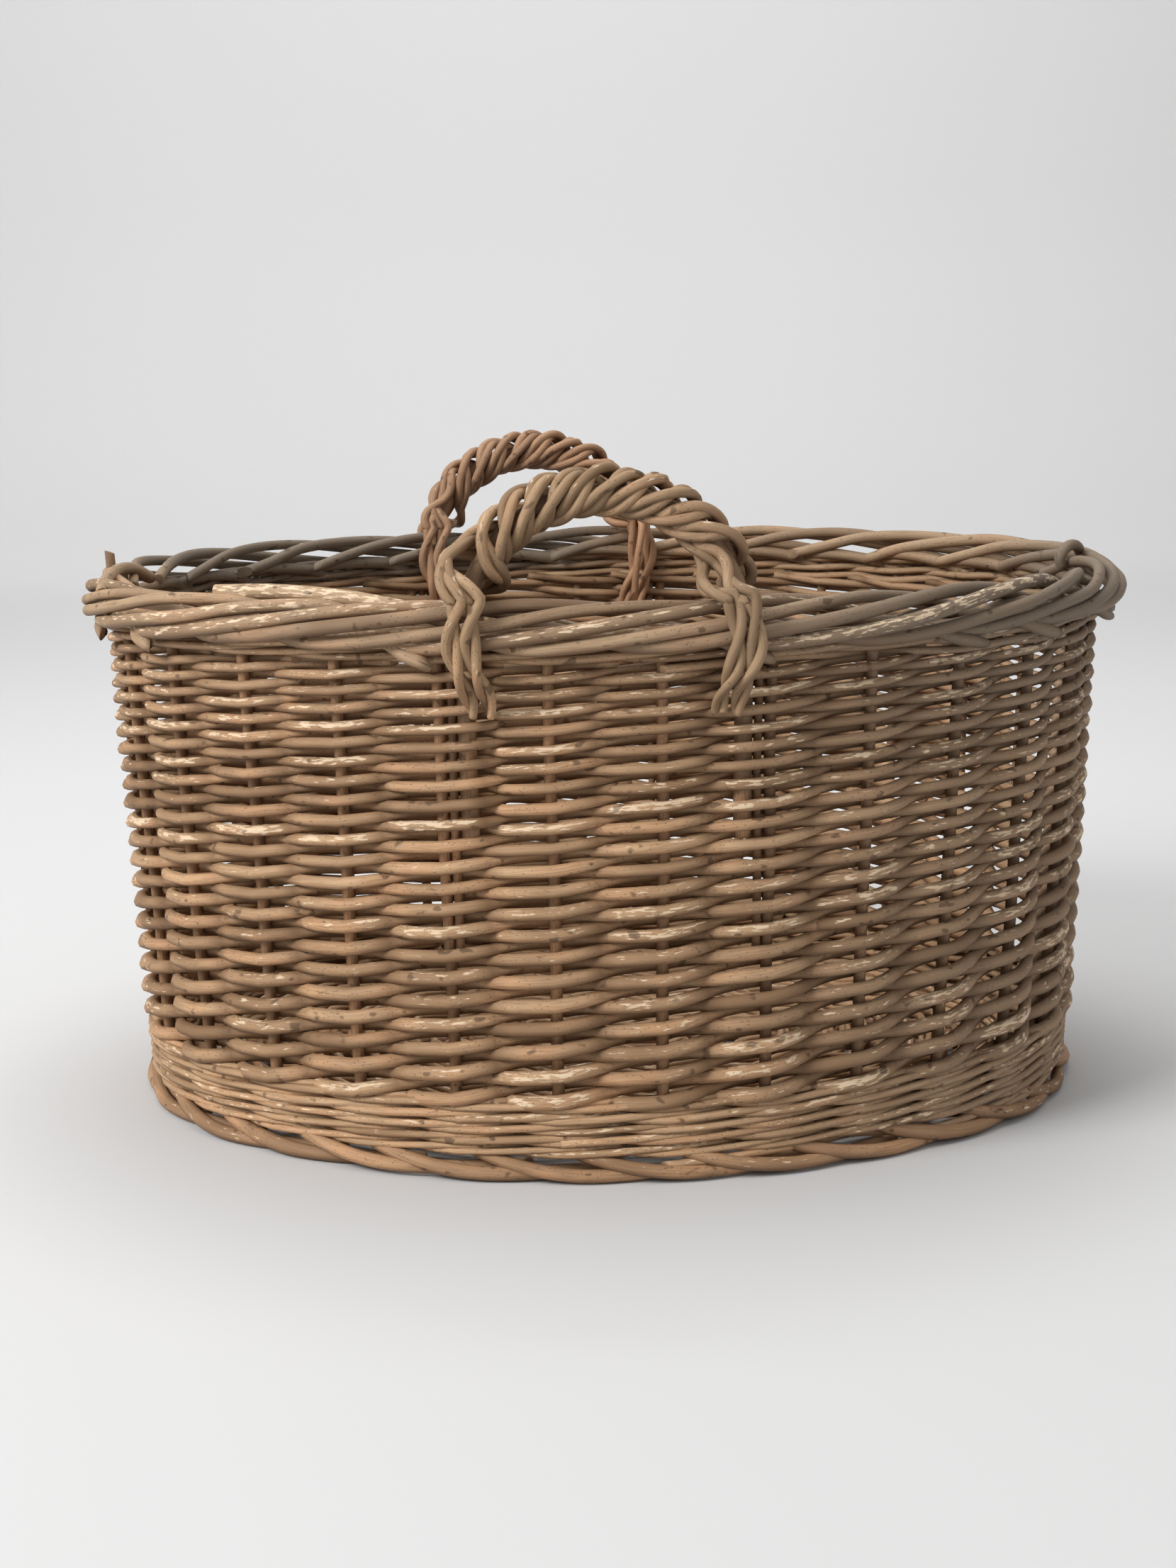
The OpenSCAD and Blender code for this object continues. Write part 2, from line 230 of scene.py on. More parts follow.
@dataclass(frozen=True)
class Willow:
    """A finish of weathered willow.

    Attributes:
        name: The material's name.
        dark: Bark in the darkest rods.
        light: Bark in the palest rods.
        warm: The reddish tint of bark here and there.
        rubbed: Wood where the bark has been rubbed off.
        grey: Bark that has stood in sun and rain.
        rubbing: How readily the bark comes off, from 0.
        greying: How strongly the greyed places show, from 0.
        roughness: How matt the bark is.
    """

    name: str
    dark: Colour
    light: Colour
    warm: Colour = screen_colour(196, 148, 108)
    rubbed: Colour = screen_colour(238, 214, 182)
    grey: Colour = screen_colour(122, 108, 92)
    rubbing: float = 1.0
    greying: float = 1.0
    roughness: float = 0.66

    def material(self) -> bpy.types.Material:
        """Builds the material.

        Returns:
            A material that reads the grain, wear and painted shade held by each rod's mesh.
        """
        shader = Shader(self.name)
        grain = shader.attribute(GRAIN)
        tone, rub, age = shader.parts(shader.attribute(WEAR_AND_SHADE))
        streaks = shader.noise(grain, (60.0, 1100.0, 1100.0), 3.0)
        mottle = shader.noise(grain, (16.0, 40.0, 40.0))
        flakes = shader.noise(grain, (120.0, 620.0, 620.0), 6.0)
        pores = shader.cells(grain, (300.0, 700.0, 700.0))
        scars = shader.noise(grain, (110.0, 160.0, 160.0), 1.0)

        # A tone below 0, which holds painted shade, also pulls the bark towards its dark colour.
        bark = shader.mixed(self.dark, self.light, (tone * 0.55 + mottle - 0.25).between(0.0, 1.0))
        bark = shader.mixed(bark, self.warm, (mottle - 0.5).between(0.0, 0.14) * 0.5)
        bark = shader.mixed(bark, self.dark, (0.56 - streaks).between(0.02, 0.2) * 0.4)
        bark = shader.mixed(bark, self.grey, (age * self.greying * (mottle + 0.5)).between(0.05, 1.0))
        bare = (flakes + rub * (0.4 * self.rubbing) - 0.2).between(0.55, 0.63)
        wood = shader.mixed(self.rubbed, self.light, (streaks - 0.3).between(0.15, 0.5) * 0.5)
        worn = shader.mixed(bark, wood, bare * 0.78)
        dots = (0.22 - pores).between(0.0, 0.12) * (mottle - 0.4).between(0.0, 0.1)
        marks = (scars - 0.66).between(0.0, 0.08) * 0.6
        # Painted shade: hollows between crossing rods and rod undersides, where tone lies below 0, turn dark
        # brown; the cut stump's darker bark goes the same way.
        grime_and_shade = shader.mixed(worn, screen_colour(66, 47, 32), (0.0 - tone).between(-0.3, 1.0) * 0.75)
        stained = shader.mixed(grime_and_shade, screen_colour(64, 44, 30), dots * 0.65 + marks)
        shader.feed(shader.surface.inputs["Base Color"], stained)
        rough = self.roughness + (streaks - 0.5) * 0.3 - bare * 0.06
        shader.feed(shader.surface.inputs["Roughness"], rough)
        height = streaks * 0.6 - bare * 0.4 - dots * 0.6 + flakes * 0.3
        bump = shader.node("ShaderNodeBump", {}, {"Strength": 0.5, "Distance": 0.0005, "Height": height})
        shader.feed(shader.surface.inputs["Normal"], bump.outputs[0])
        shader.surface.inputs["Specular IOR Level"].default_value = 0.34
        return shader.material


class Finish(Enum):
    """The finishes on this basket, one for each material slot of the record."""

    WEAVE = Willow("weave_willow", screen_colour(134, 102, 72), screen_colour(204, 168, 130))
    STICK = Willow("stick_willow", screen_colour(112, 82, 58), screen_colour(172, 134, 98), rubbing=0.7)
    FOOT = Willow("foot_willow", screen_colour(122, 92, 66), screen_colour(194, 154, 116), rubbing=0.8,
                  greying=0.6)
    BORDER = Willow("border_willow", screen_colour(124, 96, 70), screen_colour(200, 168, 132), rubbing=0.8,
                    greying=1.2)
    BOW = Willow("bow_willow", screen_colour(104, 78, 56), screen_colour(168, 134, 100), rubbing=0.6)
    ROPE = Willow("rope_willow", screen_colour(124, 96, 68), screen_colour(196, 162, 124), rubbing=0.75)
    FRESH_BOW = Willow("fresh_bow_willow", screen_colour(116, 78, 54), screen_colour(180, 132, 96),
                       rubbing=0.4, greying=0.4)
    FRESH_ROPE = Willow("fresh_rope_willow", screen_colour(130, 94, 68), screen_colour(196, 152, 116),
                        rubbing=0.5, greying=0.4)

    @property
    def slot(self) -> str:
        """The record's name for this finish."""
        return self.name.lower()


# ---------------------------------------------------------------- rods


@dataclass
class Rod:
    """One willow rod along its middle line.

    Attributes:
        points: The middle line.
        outwards: At each point, the direction that faces away from the basket.
        radii: The rod's radius at each point.
        tone: How pale the rod's bark is, 0 to 1, or less than 0 where it is grimy.
        rub: How much its outer face is rubbed, 0 to 1.
        slants: How obliquely the first and the last end are cut, as a slope.
        swings: How far the rod stands out of the weave, 1, or inside it, -1; empty where it is bare.
    """

    points: list[Vector]
    outwards: list[Vector]
    radii: list[float]
    tone: float = 0.5
    rub: float = 0.3
    slants: tuple[float, float] = (0.0, 0.0)
    swings: Sequence[float] = ()


class Bundle:
    """Gathers rods in one mesh, which becomes one piece of the basket."""

    def __init__(self, name: str, greyness: Callable[[Vector, Vector], float], seed: int,
                 sides: int = 8) -> None:
        """Starts an empty piece.

        Args:
            name: The piece's name.
            greyness: Tells how grey a rod has gone at a place with a given outward direction.
            seed: Fixes the draws for this piece's grain.
            sides: How many flats a rod's cross-section has.
        """
        self.name = name
        self.greyness = greyness
        self.sides = sides
        self.draws = random.Random(seed)
        self.mesh = bmesh.new()
        self.grain = self.mesh.verts.layers.float_vector.new(GRAIN)
        self.wear = self.mesh.verts.layers.float_vector.new(WEAR_AND_SHADE)

    def add(self, rod: Rod) -> None:
        """Wraps a grid into a tube along the rod's middle line, closes its seam and caps both ends.

        Args:
            rod: The rod, which joins the piece's mesh.
        """
        last = len(rod.points) - 1
        along = [0.0]
        for before, after in zip(rod.points, rod.points[1:]):
            along.append(along[-1] + (after - before).length)
        start = self.draws.uniform(0, 50)
        frames = []
        for ring, point in enumerate(rod.points):
            ahead = (rod.points[min(last, ring + 1)] - rod.points[max(0, ring - 1)]).normalized()
            out = (rod.outwards[ring] - ahead * rod.outwards[ring].dot(ahead)).normalized()
            frames.append((ahead, out, ahead.cross(out)))
        grid = bmesh.ops.create_grid(self.mesh, x_segments=last, y_segments=self.sides, size=0.5)
        for vert in grid["verts"]:
            ring = round((vert.co.x + 0.5) * last)
            turn = (vert.co.y + 0.5) * FULL_TURN
            ahead, out, side = frames[ring]
            radius = rod.radii[ring]
            spoke = (out * math.cos(turn) + side * math.sin(turn)) * radius
            slant = rod.slants[0] if ring == 0 else rod.slants[1] if ring == last else 0.0
            vert.co = rod.points[ring] + spoke + ahead * (slant * radius * math.cos(turn))
            vert[self.grain] = (start + along[ring], radius * math.cos(turn) + start, radius * math.sin(turn))
            facing = max(0.0, spoke.dot(out * 0.8 + Vector((0, 0, 0.55))) / radius)
            swing = rod.swings[ring] if rod.swings else 1.0
            # Painted shade: the bark's tone is pulled towards -1 where the rod dips between its neighbours
            # and on its underside.
            painted_shade = max(0.4 * eased((0.5 - abs(swing)) / 0.5), -0.6 * spoke.z / radius)
            grey = self.greyness(rod.points[ring], rod.outwards[ring])
            vert[self.wear] = (blend(rod.tone, -1.0, painted_shade), rod.rub * facing * eased(0.2 + swing), grey)
        bmesh.ops.remove_doubles(self.mesh, verts=grid["verts"], dist=1e-6)
        tube = [vert for vert in grid["verts"] if vert.is_valid]
        rims = {edge for vert in tube for edge in vert.link_edges if len(edge.link_faces) == 1}
        caps = bmesh.ops.holes_fill(self.mesh, edges=list(rims), sides=0)["faces"]
        for face in {face for vert in tube for face in vert.link_faces}:
            face.smooth = face not in caps

    def piece(self, finish: Finish, nodes: Sequence[str]) -> bpy.types.Object:
        """Makes the gathered rods an object of the basket.

        Args:
            finish: The willow that the rods are made of.
            nodes: The frame's nodes that the piece stands for.

        Returns:
            The object, riding on the basket's only body.
        """
        bmesh.ops.recalc_face_normals(self.mesh, faces=self.mesh.faces)
        data = bpy.data.meshes.new(self.name)
        self.mesh.to_mesh(data)
        self.mesh.free()
        data.materials.append(MATERIALS[finish])
        piece = bpy.data.objects.new(self.name, data)
        bpy.context.scene.collection.objects.link(piece)
        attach(piece, "root")
        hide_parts(*nodes)
        LOG.info("%s: %d faces", self.name, len(data.polygons))
        return piece


MATERIALS: dict[Finish, bpy.types.Material] = {}


# ---------------------------------------------------------------- the wall


@dataclass
class Wall:
    """The wall's middle surface: an oval of four arcs that leans outwards evenly.

    Attributes:
        rim_half: Half the border's length and half its width.
        wall_top: Height of the wall's top, under the border.
        rim_top: Height of the border's top.
        thickness: Thickness of the wall.
        overhang: How far the border stands out past the wall.
        tightening: How much smaller an end's radius is than half the wall's width.
        flare: How far the wall leans outwards up to the border's middle.
        stakes: Number of upright stakes.
        creep: How far the stakes at the back have crept round towards the right.
    """

    rim_half: tuple[float, float]
    wall_top: float
    rim_top: float
    thickness: float = 0.018
    overhang: float = 0.015
    tightening: float = 0.031
    flare: float = 0.018
    stakes: int = 28
    creep: float = 0.014

    def __post_init__(self) -> None:
        """Works out the oval's arcs, as they lie on the ground."""
        half_a = self.rim_half[0] - self.overhang - self.thickness / 2
        half_b = self.rim_half[1] - self.overhang - self.thickness / 2
        end_top = half_b - self.tightening
        self.end_x = half_a - end_top
        side_top = (self.end_x ** 2 + half_b ** 2 - end_top ** 2) / (2 * self.tightening)
        self.side_y = side_top - half_b
        self.side_half = math.atan2(self.end_x, self.side_y)
        self.end_r = end_top - self.flare
        self.side_r = side_top - self.flare
        self.side_len = self.side_r * self.side_half
        self.end_len = self.end_r * (math.pi - 2 * self.side_half)
        self.round_len = 4 * self.side_len + 2 * self.end_len
        self.lean_height = (self.wall_top + self.rim_top) / 2
        self.pitch = self.round_len / self.stakes

    def along(self, stake: float) -> float:
        """Returns how far round the oval a stake stands, from the front's middle."""
        even = (stake + 0.5) * self.pitch
        return even - self.creep * (1 - math.cos(FULL_TURN * even / self.round_len)) / 2

    def spot(self, along: float) -> tuple[Vector, Vector, float]:
        """Returns the arc's centre, the outward direction and the arc's radius, some way round the oval."""
        s = along % self.round_len
        side, end = self.side_len, self.end_len
        end_half = math.pi / 2 - self.side_half
        if s < side:
            centre, radius, angle = (0, self.side_y), self.side_r, -math.pi / 2 + s / self.side_r
        elif s < side + end:
            centre, radius, angle = (self.end_x, 0), self.end_r, -end_half + (s - side) / self.end_r
        elif s < 3 * side + end:
            centre, radius = (0, -self.side_y), self.side_r
            angle = math.pi / 2 - self.side_half + (s - side - end) / self.side_r
        elif s < 3 * side + 2 * end:
            centre, radius = (-self.end_x, 0), self.end_r
            angle = math.pi - end_half + (s - 3 * side - end) / self.end_r
        else:
            centre, radius = (0, self.side_y), self.side_r
            angle = 3 * math.pi / 2 - self.side_half + (s - 3 * side - 2 * end) / self.side_r
        return Vector((*centre, 0)), Vector((math.cos(angle), math.sin(angle), 0)), radius

    def lean(self, height: float) -> float:
        """Returns how far the wall has leant outwards at a height."""
        return self.flare * height / self.lean_height

    def place(self, along: float, height: float, offset: float) -> tuple[Vector, Vector]:
        """Finds a point near the wall.

        Args:
            along: Distance round the oval from the front's middle.
            height: Height above the ground.
            offset: Distance outwards from the wall's middle.

        Returns:
            The point and the outward direction there.
        """
        centre, outward, radius = self.spot(along)
        return centre + outward * (radius + self.lean(height) + offset) + UP * height, outward

    def trace(self, line: Sequence[Vector], radii: list[float], **looks: object) -> Rod:
        """Lays a rod along a line of (stake number, height, offset) points."""
        placed = [self.place(self.along(p.x), p.y, p.z) for p in line]
        return Rod([point for point, _ in placed], [outward for _, outward in placed], radii, **looks)


def weathered(point: Vector, outward: Vector) -> float:
    """Returns how grey a rod has gone: the top, the right-hand outside and the rim at the back left.

    Args:
        point: A place on the basket.
        outward: The direction that faces away from the basket there; not used.

    Returns:
        0 for fresh bark to 1 for grey bark.
    """
    high = eased((point.z - 0.2) / 0.13)
    right = eased((point.x + 0.02) / 0.26) * (1 - 0.85 * eased((point.y - 0.02) / 0.12))
    back_left = eased((point.z - 0.292) / 0.012) * eased((0.05 - point.x) / 0.12) * eased(point.y / 0.12)
    return min(1.0, 0.1 + 0.2 * high + 0.4 * right + 0.7 * back_left)


def foot_weathered(point: Vector, outward: Vector) -> float:
    """Returns how grey the foot has gone, which is little except on the right."""
    return 0.05 + 0.3 * eased((point.x + 0.05) / 0.3)


def inside_weathered(point: Vector, outward: Vector) -> float:
    """Returns how grey the rods inside the basket have gone, which is little."""
    return 0.1


@dataclass(frozen=True)
class Upright:
    """A rod beside a stake that the siding has to pass.

    Attributes:
        place: Where it stands, as a stake number.
        low: Height of its foot.
        diameter: Its diameter.
    """

    place: float
    low: float
    diameter: float


@dataclass
class Siding:
    """The randed siding: one rod for each stake, which climbs a layer at every stake.

    Attributes:
        wall: The wall that the siding follows.
        low: Height of the siding's foot.
        high: Height of the siding's top.
        uprights: Rods beside the stakes that the siding passes.
        layers: Layers of rods from foot to top.
        bands: Sets of rods, one above the other.
        thick: Thickness of a layer at the foot.
        thin: Thickness of a layer at the top.
        stake_d: Diameter of a stake.
        groups: Pieces that each band is made in.
    """

    wall: Wall
    low: float
    high: float
    uprights: list[Upright]
    layers: int = 42
    bands: int = 3
    thick: float = 0.0072
    thin: float = 0.0044
    stake_d: float = 0.007
    groups: int = 4

    def height(self, layer: float) -> float:
        """Returns the height of the middle of a layer."""
        last = self.layers - 1
        climbed = layer * self.thick - (self.thick - self.thin) * layer * layer / (2 * last)
        whole = last * (self.thick + self.thin) / 2
        span = self.high - self.low - (self.thick + self.thin) / 2
        return self.low + self.thick / 2 + span * climbed / whole

    def gauge(self, layer: float, swing: float) -> float:
        """Returns the radius of a rod in a layer, which is pinched where it crosses its neighbours."""
        share = layer / self.layers
        return blend(self.thick, self.thin, share) * blend(0.61, 0.59, share) * (0.92 + 0.08 * abs(swing))

    def bulge(self, place: float, height: float, radius: float) -> float:
        """Returns how far out a rod is pushed where it passes a handle's leg or an extra stake."""
        pushed = 0.0
        whole = self.wall.stakes
        for upright in self.uprights:
            away = abs((place - upright.place + whole / 2) % whole - whole / 2)
            near = eased((0.24 - away) / 0.14) * eased((height - upright.low) / 0.004)
            pushed = max(pushed, near * (upright.diameter / 2 + radius))
        return pushed

    def rod(self, first: int, band: int, draws: random.Random) -> Rod:
        """Lays one rod of a band.

        Args:
            first: The stake that the rod passes in front of first.
            band: The band's number, from the foot.
            draws: Where the rod's unevenness comes from.

        Returns:
            The rod, which ends inside the basket at both ends.
        """
        strokes = self.layers // self.bands
        base = band * strokes
        fatness = draws.uniform(0.94, 1.05)
        drift = [(draws.gauss(0, 0.0003), draws.gauss(0, 0.0003)) for _ in range(strokes + 2)]
        line, radii, swings = [], [], []
        spans = (0.0, 0.12, 0.26, 0.4, 0.6, 0.74, 0.88)
        marks = [stroke + span for stroke in range(strokes) for span in spans]
        marks = [-0.62, -0.45, -0.3, -0.15, *marks[:-3], strokes - 0.5, strokes - 0.4]
        for mark in marks:
            layer = base + mark
            below = math.floor(layer)
            climb = 1 - (1 - layer + below) ** 1.6
            near = min(strokes, max(0, math.floor(mark)))
            lift = blend(drift[near][0], drift[near + 1][0], eased(mark - near))
            push = blend(drift[near][1], drift[near + 1][1], eased(mark - near))
            height = blend(self.height(below), self.height(below + 1), climb) + lift
            turn = math.pi * (below + (layer - below) ** 0.8)
            swing = (math.cos(turn) - 0.1 * math.cos(3 * turn)) / 0.9
            radius = self.gauge(layer, swing) * fatness
            tucked = 0.004 * eased((-0.2 - mark) / 0.4) + 0.004 * eased((mark - strokes + 0.8) / 0.4)
            reach = (self.stake_d / 2 + radius) * 0.9
            offset = reach * swing
            side = 1 if swing > 0 else -1
            offset = side * max(abs(offset), self.bulge(first + mark, height, radius))
            line.append(Vector((first + mark, height, offset + push - tucked)))
            radii.append(radius)
            swings.append(swing)
        return self.wall.trace(line, radii, tone=min(1, max(0, draws.gauss(0.5, 0.2))),
                               rub=min(1, max(0, draws.gauss(0.5, 0.22))), swings=swings,
                               slants=(draws.uniform(-1, 1), draws.uniform(-1, 1)))

    def build(self) -> None:
        """Builds the siding's pieces, a few for each band."""
        nodes = ("siding_lower", "siding_middle", "siding_upper")
        per_group = self.wall.stakes // self.groups
        for band, node in enumerate(nodes):
            draws = random.Random(11 + band)
            for group in range(self.groups):
                bundle = Bundle(f"{node}_rods_{group + 1}", weathered, 100 + band * 10 + group)
                for first in range(group * per_group, (group + 1) * per_group):
                    bundle.add(self.rod(first, band, draws))
                bundle.piece(Finish.WEAVE, [node])


@dataclass
class Waling:
    """A wale of three rods that each pass in front of two stakes and behind one.

    Attributes:
        wall: The wall that the wale follows.
        node: The frame's node that it stands for.
        low: Height of its lowest rod's middle.
        rise: How far it climbs in one round.
        rounds: Rounds that it makes.
        rod_d: Diameter of its rods.
        stake_d: Diameter of a stake.
    """

    wall: Wall
    node: str
    low: float
    rise: float
    rounds: float
    rod_d: float
    stake_d: float = 0.007

    def build(self) -> bpy.types.Object:
        """Builds the wale as one piece."""
        bundle = Bundle(f"{self.node}_rods", weathered, len(self.node))
        draws = bundle.draws
        length = round(self.rounds * self.wall.stakes)
        piece_length = 26
        reach = (self.stake_d + self.rod_d) / 2
        for strand in range(3):
            for begin in range(strand * 3, length, piece_length):
                knots, finish = [], min(length, begin + piece_length + 1)
                for stake in range(begin, finish + 1):
                    phase = (stake - strand) % 3
                    offset = -reach if phase == 2 else reach + (0.0005 if phase == 0 else -0.0003)
                    step = (0.0, 0.5, 0.3)[phase] * self.rise
                    height = self.low + self.rise * stake / self.wall.stakes + step
                    knots.append(Vector((stake, height + draws.gauss(0, 0.0004), offset)))
                    if phase == 1:
                        knots.append(Vector((stake + 0.55, height + 0.0002, offset * 0.2)))
                    elif phase == 2:
                        knots.append(Vector((stake + 0.45, height - 0.0006, 0.0)))
                line = smooth_line(knots, 3)
                radii = tapered(self.rod_d / 2 * draws.uniform(0.9, 1.08), 1.08, 0.86, len(line))
                bundle.add(self.wall.trace(line, radii, tone=draws.uniform(0.25, 0.95),
                                           rub=draws.uniform(0.1, 0.65), slants=(0.8, -0.8)))
        return bundle.piece(Finish.WEAVE, [self.node])


@dataclass
class Stakes:
    """The upright stakes, and the extra ones beside the handles' legs.

    Attributes:
        wall: The wall that they stand in.
        rod_d: Diameter of a stake.
        extra_d: Diameter of an extra stake.
        stump: Place of the cut stake that stands up out of the border at the left.
    """

    wall: Wall
    rod_d: float = 0.007
    extra_d: float = 0.005
    stump: float = 20.56

    def upright(self, stake: float, low: float, high: float, diameter: float, draws: random.Random) -> Rod:
        """Lays one upright rod with a slight sway."""
        knots = []
        for step in range(6):
            height = blend(low, high, step / 5)
            knots.append(Vector((stake + draws.gauss(0, 0.008), height, draws.gauss(0, 0.0004))))
        line = smooth_line(knots, 3)
        radii = tapered(diameter / 2, 1.03, 0.94, len(line))
        return self.wall.trace(line, radii, tone=draws.uniform(0.1, 0.8), rub=draws.uniform(0.0, 0.45))

    def build(self) -> bpy.types.Object:
        """Builds the stakes as one piece."""
        low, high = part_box("side_stakes")
        bundle = Bundle("side_stake_rods", weathered, 3)
        for stake in range(self.wall.stakes):
            bundle.add(self.upright(stake, low.z - 0.002, high.z + 0.003, self.rod_d, bundle.draws))
        foot, head = self.wall.rim_top - 0.02, self.wall.rim_top + 0.009
        line = [Vector((self.stump, blend(foot, head, share), 0.006)) for share in (0.0, 0.5, 1.0)]
        bundle.add(self.wall.trace(line, [self.rod_d * 0.44] * 3, tone=-0.4, rub=0.0, slants=(0.0, 0.4)))
        return bundle.piece(Finish.STICK, ["side_stakes"])

    def build_extra(self, node: str, places: Sequence[float]) -> bpy.types.Object:
        """Builds the extra stakes beside one handle's legs as one piece."""
        low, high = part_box(node)
        bundle = Bundle(f"{node}_rods", weathered, len(node))
        for place in places:
            bundle.add(self.upright(place, low.z, high.z, self.extra_d, bundle.draws))
        return bundle.piece(Finish.STICK, [node])


@dataclass
class FootBorder:
    """The rolled border round the foot: one thick rod for each stake, tucked under the next ones.

    Attributes:
        wall: The wall above it.
        rod_d: Diameter of its rods.
    """

    wall: Wall
    rod_d: float = 0.0094

    def build(self) -> bpy.types.Object:
        """Builds the foot border as one piece."""
        bundle = Bundle("foot_border_rods", foot_weathered, 21, sides=10)
        draws = bundle.draws
        # Stake spaces along the foot, height above the ground, distance outwards
        course = ((-0.15, 0.0250, -0.0035), (0.1, 0.0195, 0.0000), (0.42, 0.0130, 0.0045),
                  (0.8, 0.0080, 0.0075), (1.25, 0.0052, 0.0085), (1.7, 0.0049, 0.0055),
                  (2.15, 0.0049, -0.0010), (2.6, 0.0050, -0.0080))
        for stake in range(self.wall.stakes):
            lift, push = draws.gauss(0, 0.0005), draws.gauss(0, 0.0008)
            start = stake + draws.gauss(0, 0.06)
            knots = [Vector((start + x, max(0.0046, z + lift), off + push)) for x, z, off in course]
            line = smooth_line(knots, 4)
            last = len(line) - 1
            thick = self.rod_d / 2 * draws.uniform(0.86, 1.04)
            radii = [min(thick, p.y - 0.0002) * blend(1.0, 0.9, i / last) for i, p in enumerate(line)]
            bundle.add(self.wall.trace(line, radii, tone=draws.uniform(0.2, 0.9),
                                       rub=draws.uniform(0.05, 0.6), slants=(0.0, draws.uniform(-1.2, 1.2))))
        return bundle.piece(Finish.FOOT, ["foot_border"])


@dataclass(frozen=True)
class Stray:
    """A rod end that lies out of line on the border.

    Attributes:
        course: Its middle line as (stake number, height above the wall, offset) points.
        radius: Its radius.
        tone: How pale it is.
        rub: How much it is rubbed.
    """

    course: tuple[tuple[float, float, float], ...]
    radius: float
    tone: float
    rub: float


# A hook curled over the rim at the right, a pale butt on the front left and a folded end at the left tip
STRAYS = (
    Stray(((7.0, 0.0140, 0.0060), (6.85, 0.0215, 0.0020), (6.65, 0.0262, -0.0040), (6.5, 0.0262, -0.0105),
           (6.42, 0.0205, -0.0152), (6.44, 0.0140, -0.0140)), 0.0035, 0.4, 0.2),
    Stray(((23.7, 0.0225, -0.0010), (24.4, 0.0245, -0.0025), (25.1, 0.0230, -0.0020), (25.7, 0.0185, 0.0010),
           (26.2, 0.0120, 0.0040)), 0.0047, 1.0, 1.0),
    Stray(((20.2, 0.0130, -0.0120), (20.5, 0.0200, -0.0080), (20.9, 0.0225, -0.0030), (21.4, 0.0200, 0.0040),
           (21.9, 0.0140, 0.0120)), 0.0039, 0.6, 0.2))


@dataclass
class TopBorder:
    """The rolled top border: one thick rod for each stake, which slants over the rim into the basket.

    Attributes:
        wall: The wall under it.
        rod_d: Diameter of its rods.
    """

    wall: Wall
    rod_d: float = 0.0083

    def rod(self, stake: int, draws: random.Random) -> Rod:
        """Lays one border rod.

        Args:
            stake: The stake that the rod grows from.
            draws: Where the rod's unevenness comes from.

        Returns:
            The rod, from the stake's head to the butt inside the rim.
        """
        # Stake spaces along the rim, height above the wall's top, distance outwards
        course = ((0.0, -0.004, 0.0), (0.35, 0.0042, -0.0045), (0.95, 0.0068, -0.0075),
                  (1.4, 0.002, 0.002), (1.85, -0.0012, 0.0135), (2.4, 0.0012, 0.0176),
                  (3.0, 0.0062, 0.0185), (3.6, 0.0116, 0.0172), (4.2, 0.0170, 0.0125),
                  (4.8, 0.0197, 0.0045), (5.4, 0.0172, -0.0050), (5.9, 0.0110, -0.0102),
                  (6.3, 0.0050, -0.0118))
        reach = draws.choice((0, 0, 0, 0, 1))
        course = course[:len(course) - reach]
        lift, push = draws.gauss(0, 0.0006), draws.gauss(0, 0.0007)
        knots = []
        for spaces, height, offset in course:
            knots.append(Vector((stake + spaces, self.wall.wall_top + height + lift + draws.gauss(0, 0.0005),
                                 offset + push + draws.gauss(0, 0.0005))))
        line = smooth_line(knots, 5)
        radii = tapered(self.rod_d / 2 * draws.uniform(0.84, 1.05), 1.0, 0.88, len(line))
        return self.wall.trace(line, radii, tone=draws.uniform(0.15, 0.95), rub=draws.uniform(0.0, 1.0) ** 2,
                               slants=(0.0, draws.uniform(-1.6, 1.6)))

    def butt(self, stake: int, draws: random.Random) -> Rod:
        """Lays the cut butt of a rod that comes out of the wall just under the border."""
        start = stake + draws.uniform(-0.35, 0.25)
        knots = [Vector((start - 0.45, 0.0045, -0.003)), Vector((start - 0.2, 0.0005, 0.0065)),
                 Vector((start, -0.0052, 0.0135)),
                 Vector((start + draws.uniform(0.12, 0.24), -0.0086, 0.0152))]
        line = smooth_line([knot + Vector((0, self.wall.wall_top, 0)) for knot in knots], 5)
        radius = self.rod_d / 2 * draws.uniform(0.78, 0.98)
        return self.wall.trace(line, [radius] * len(line), tone=draws.uniform(0.3, 0.9),
                               rub=draws.uniform(0.2, 0.7), slants=(0.0, draws.uniform(1.6, 2.6)))

    def build(self) -> None:
        """Builds the top border, in a piece for each quarter of the rim."""
        draws = random.Random(44)
        nodes = ("border_outer_rods", "border_middle_rods", "border_inner_rods")
        quarters = 4
        per_quarter = self.wall.stakes // quarters
        for quarter in range(quarters):
            bundle = Bundle(f"top_border_rods_{quarter + 1}", weathered, 50 + quarter, sides=12)
            for stake in range(quarter * per_quarter, (quarter + 1) * per_quarter):
                bundle.add(self.rod(stake, draws))
                if draws.random() < 0.7:
                    bundle.add(self.butt(stake, draws))
            for stray in STRAYS:
                if stray.course[0][0] // per_quarter == quarter:
                    knots = [Vector((at, self.wall.wall_top + up, off)) for at, up, off in stray.course]
                    line = smooth_line(knots, 5)
                    bundle.add(self.wall.trace(line, [stray.radius] * len(line), tone=stray.tone,
                                               rub=stray.rub, slants=(0.4, 0.4)))
            bundle.piece(Finish.BORDER, nodes)


